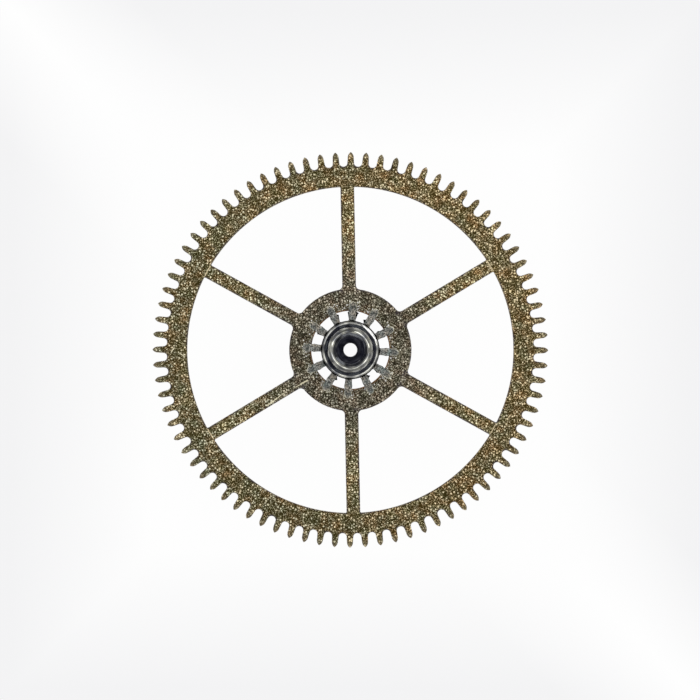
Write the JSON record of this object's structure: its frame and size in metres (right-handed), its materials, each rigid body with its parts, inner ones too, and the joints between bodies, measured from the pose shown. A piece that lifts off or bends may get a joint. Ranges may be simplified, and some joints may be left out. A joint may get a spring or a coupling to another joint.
{
  "type": "watch center wheel",
  "caption": "Watch center wheel: pierced brass wheel with pointed teeth and straight arms, staked to a leaved steel pinion on a hollow arbor with two pivots and a post for a cannon pinion.",
  "frame": {"origin": "on the wheel's axis at half the height of its rim", "axes": "+Z along the axis of rotation, from the wheel towards the pinion's leaves; one wheel tooth points along +X"},
  "size_m": [0.0108, 0.0108, 0.0057],
  "materials": {
    "gilt_brass": "frosted, dulled gilding",
    "leaf_steel": "matte, as cut",
    "polished_steel": "turned and polished"
  },
  "bodies": {
    "root": {"center_wheel": "gilt_brass", "center_pinion": "leaf_steel", "hollow_arbor": "polished_steel"}
  },
  "joints": []
}
